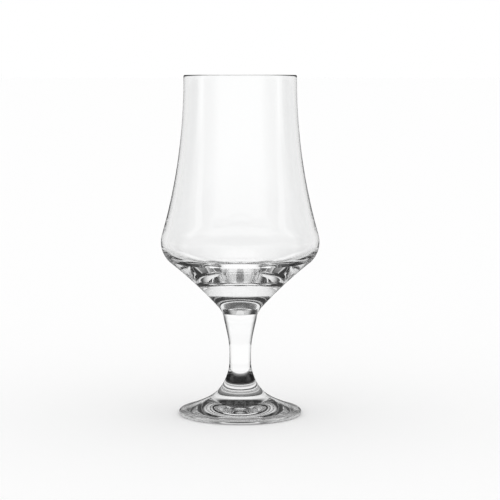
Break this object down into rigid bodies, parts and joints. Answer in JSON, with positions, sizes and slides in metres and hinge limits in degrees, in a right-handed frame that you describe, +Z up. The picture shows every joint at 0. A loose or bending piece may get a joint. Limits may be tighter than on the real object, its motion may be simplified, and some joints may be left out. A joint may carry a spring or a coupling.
{
  "type": "beer glass",
  "caption": "Clear tulip beer glass: narrow lip, wall widening to a round shoulder with a crease below it, thick conical base hollow to a flat floor, solid waisted stem and flared foot.",
  "frame": {"origin": "centre of the plane that the foot rests on", "axes": "+Z up along the axis the glass is turned about, +X and +Y free because the glass is round"},
  "size_m": [0.084, 0.084, 0.18],
  "materials": {
    "bowl_glass": "polished",
    "stem_glass": "polished",
    "foot_glass": "polished"
  },
  "bodies": {
    "root": {"bowl": "bowl_glass", "stem": "stem_glass", "foot": "foot_glass"}
  },
  "joints": []
}
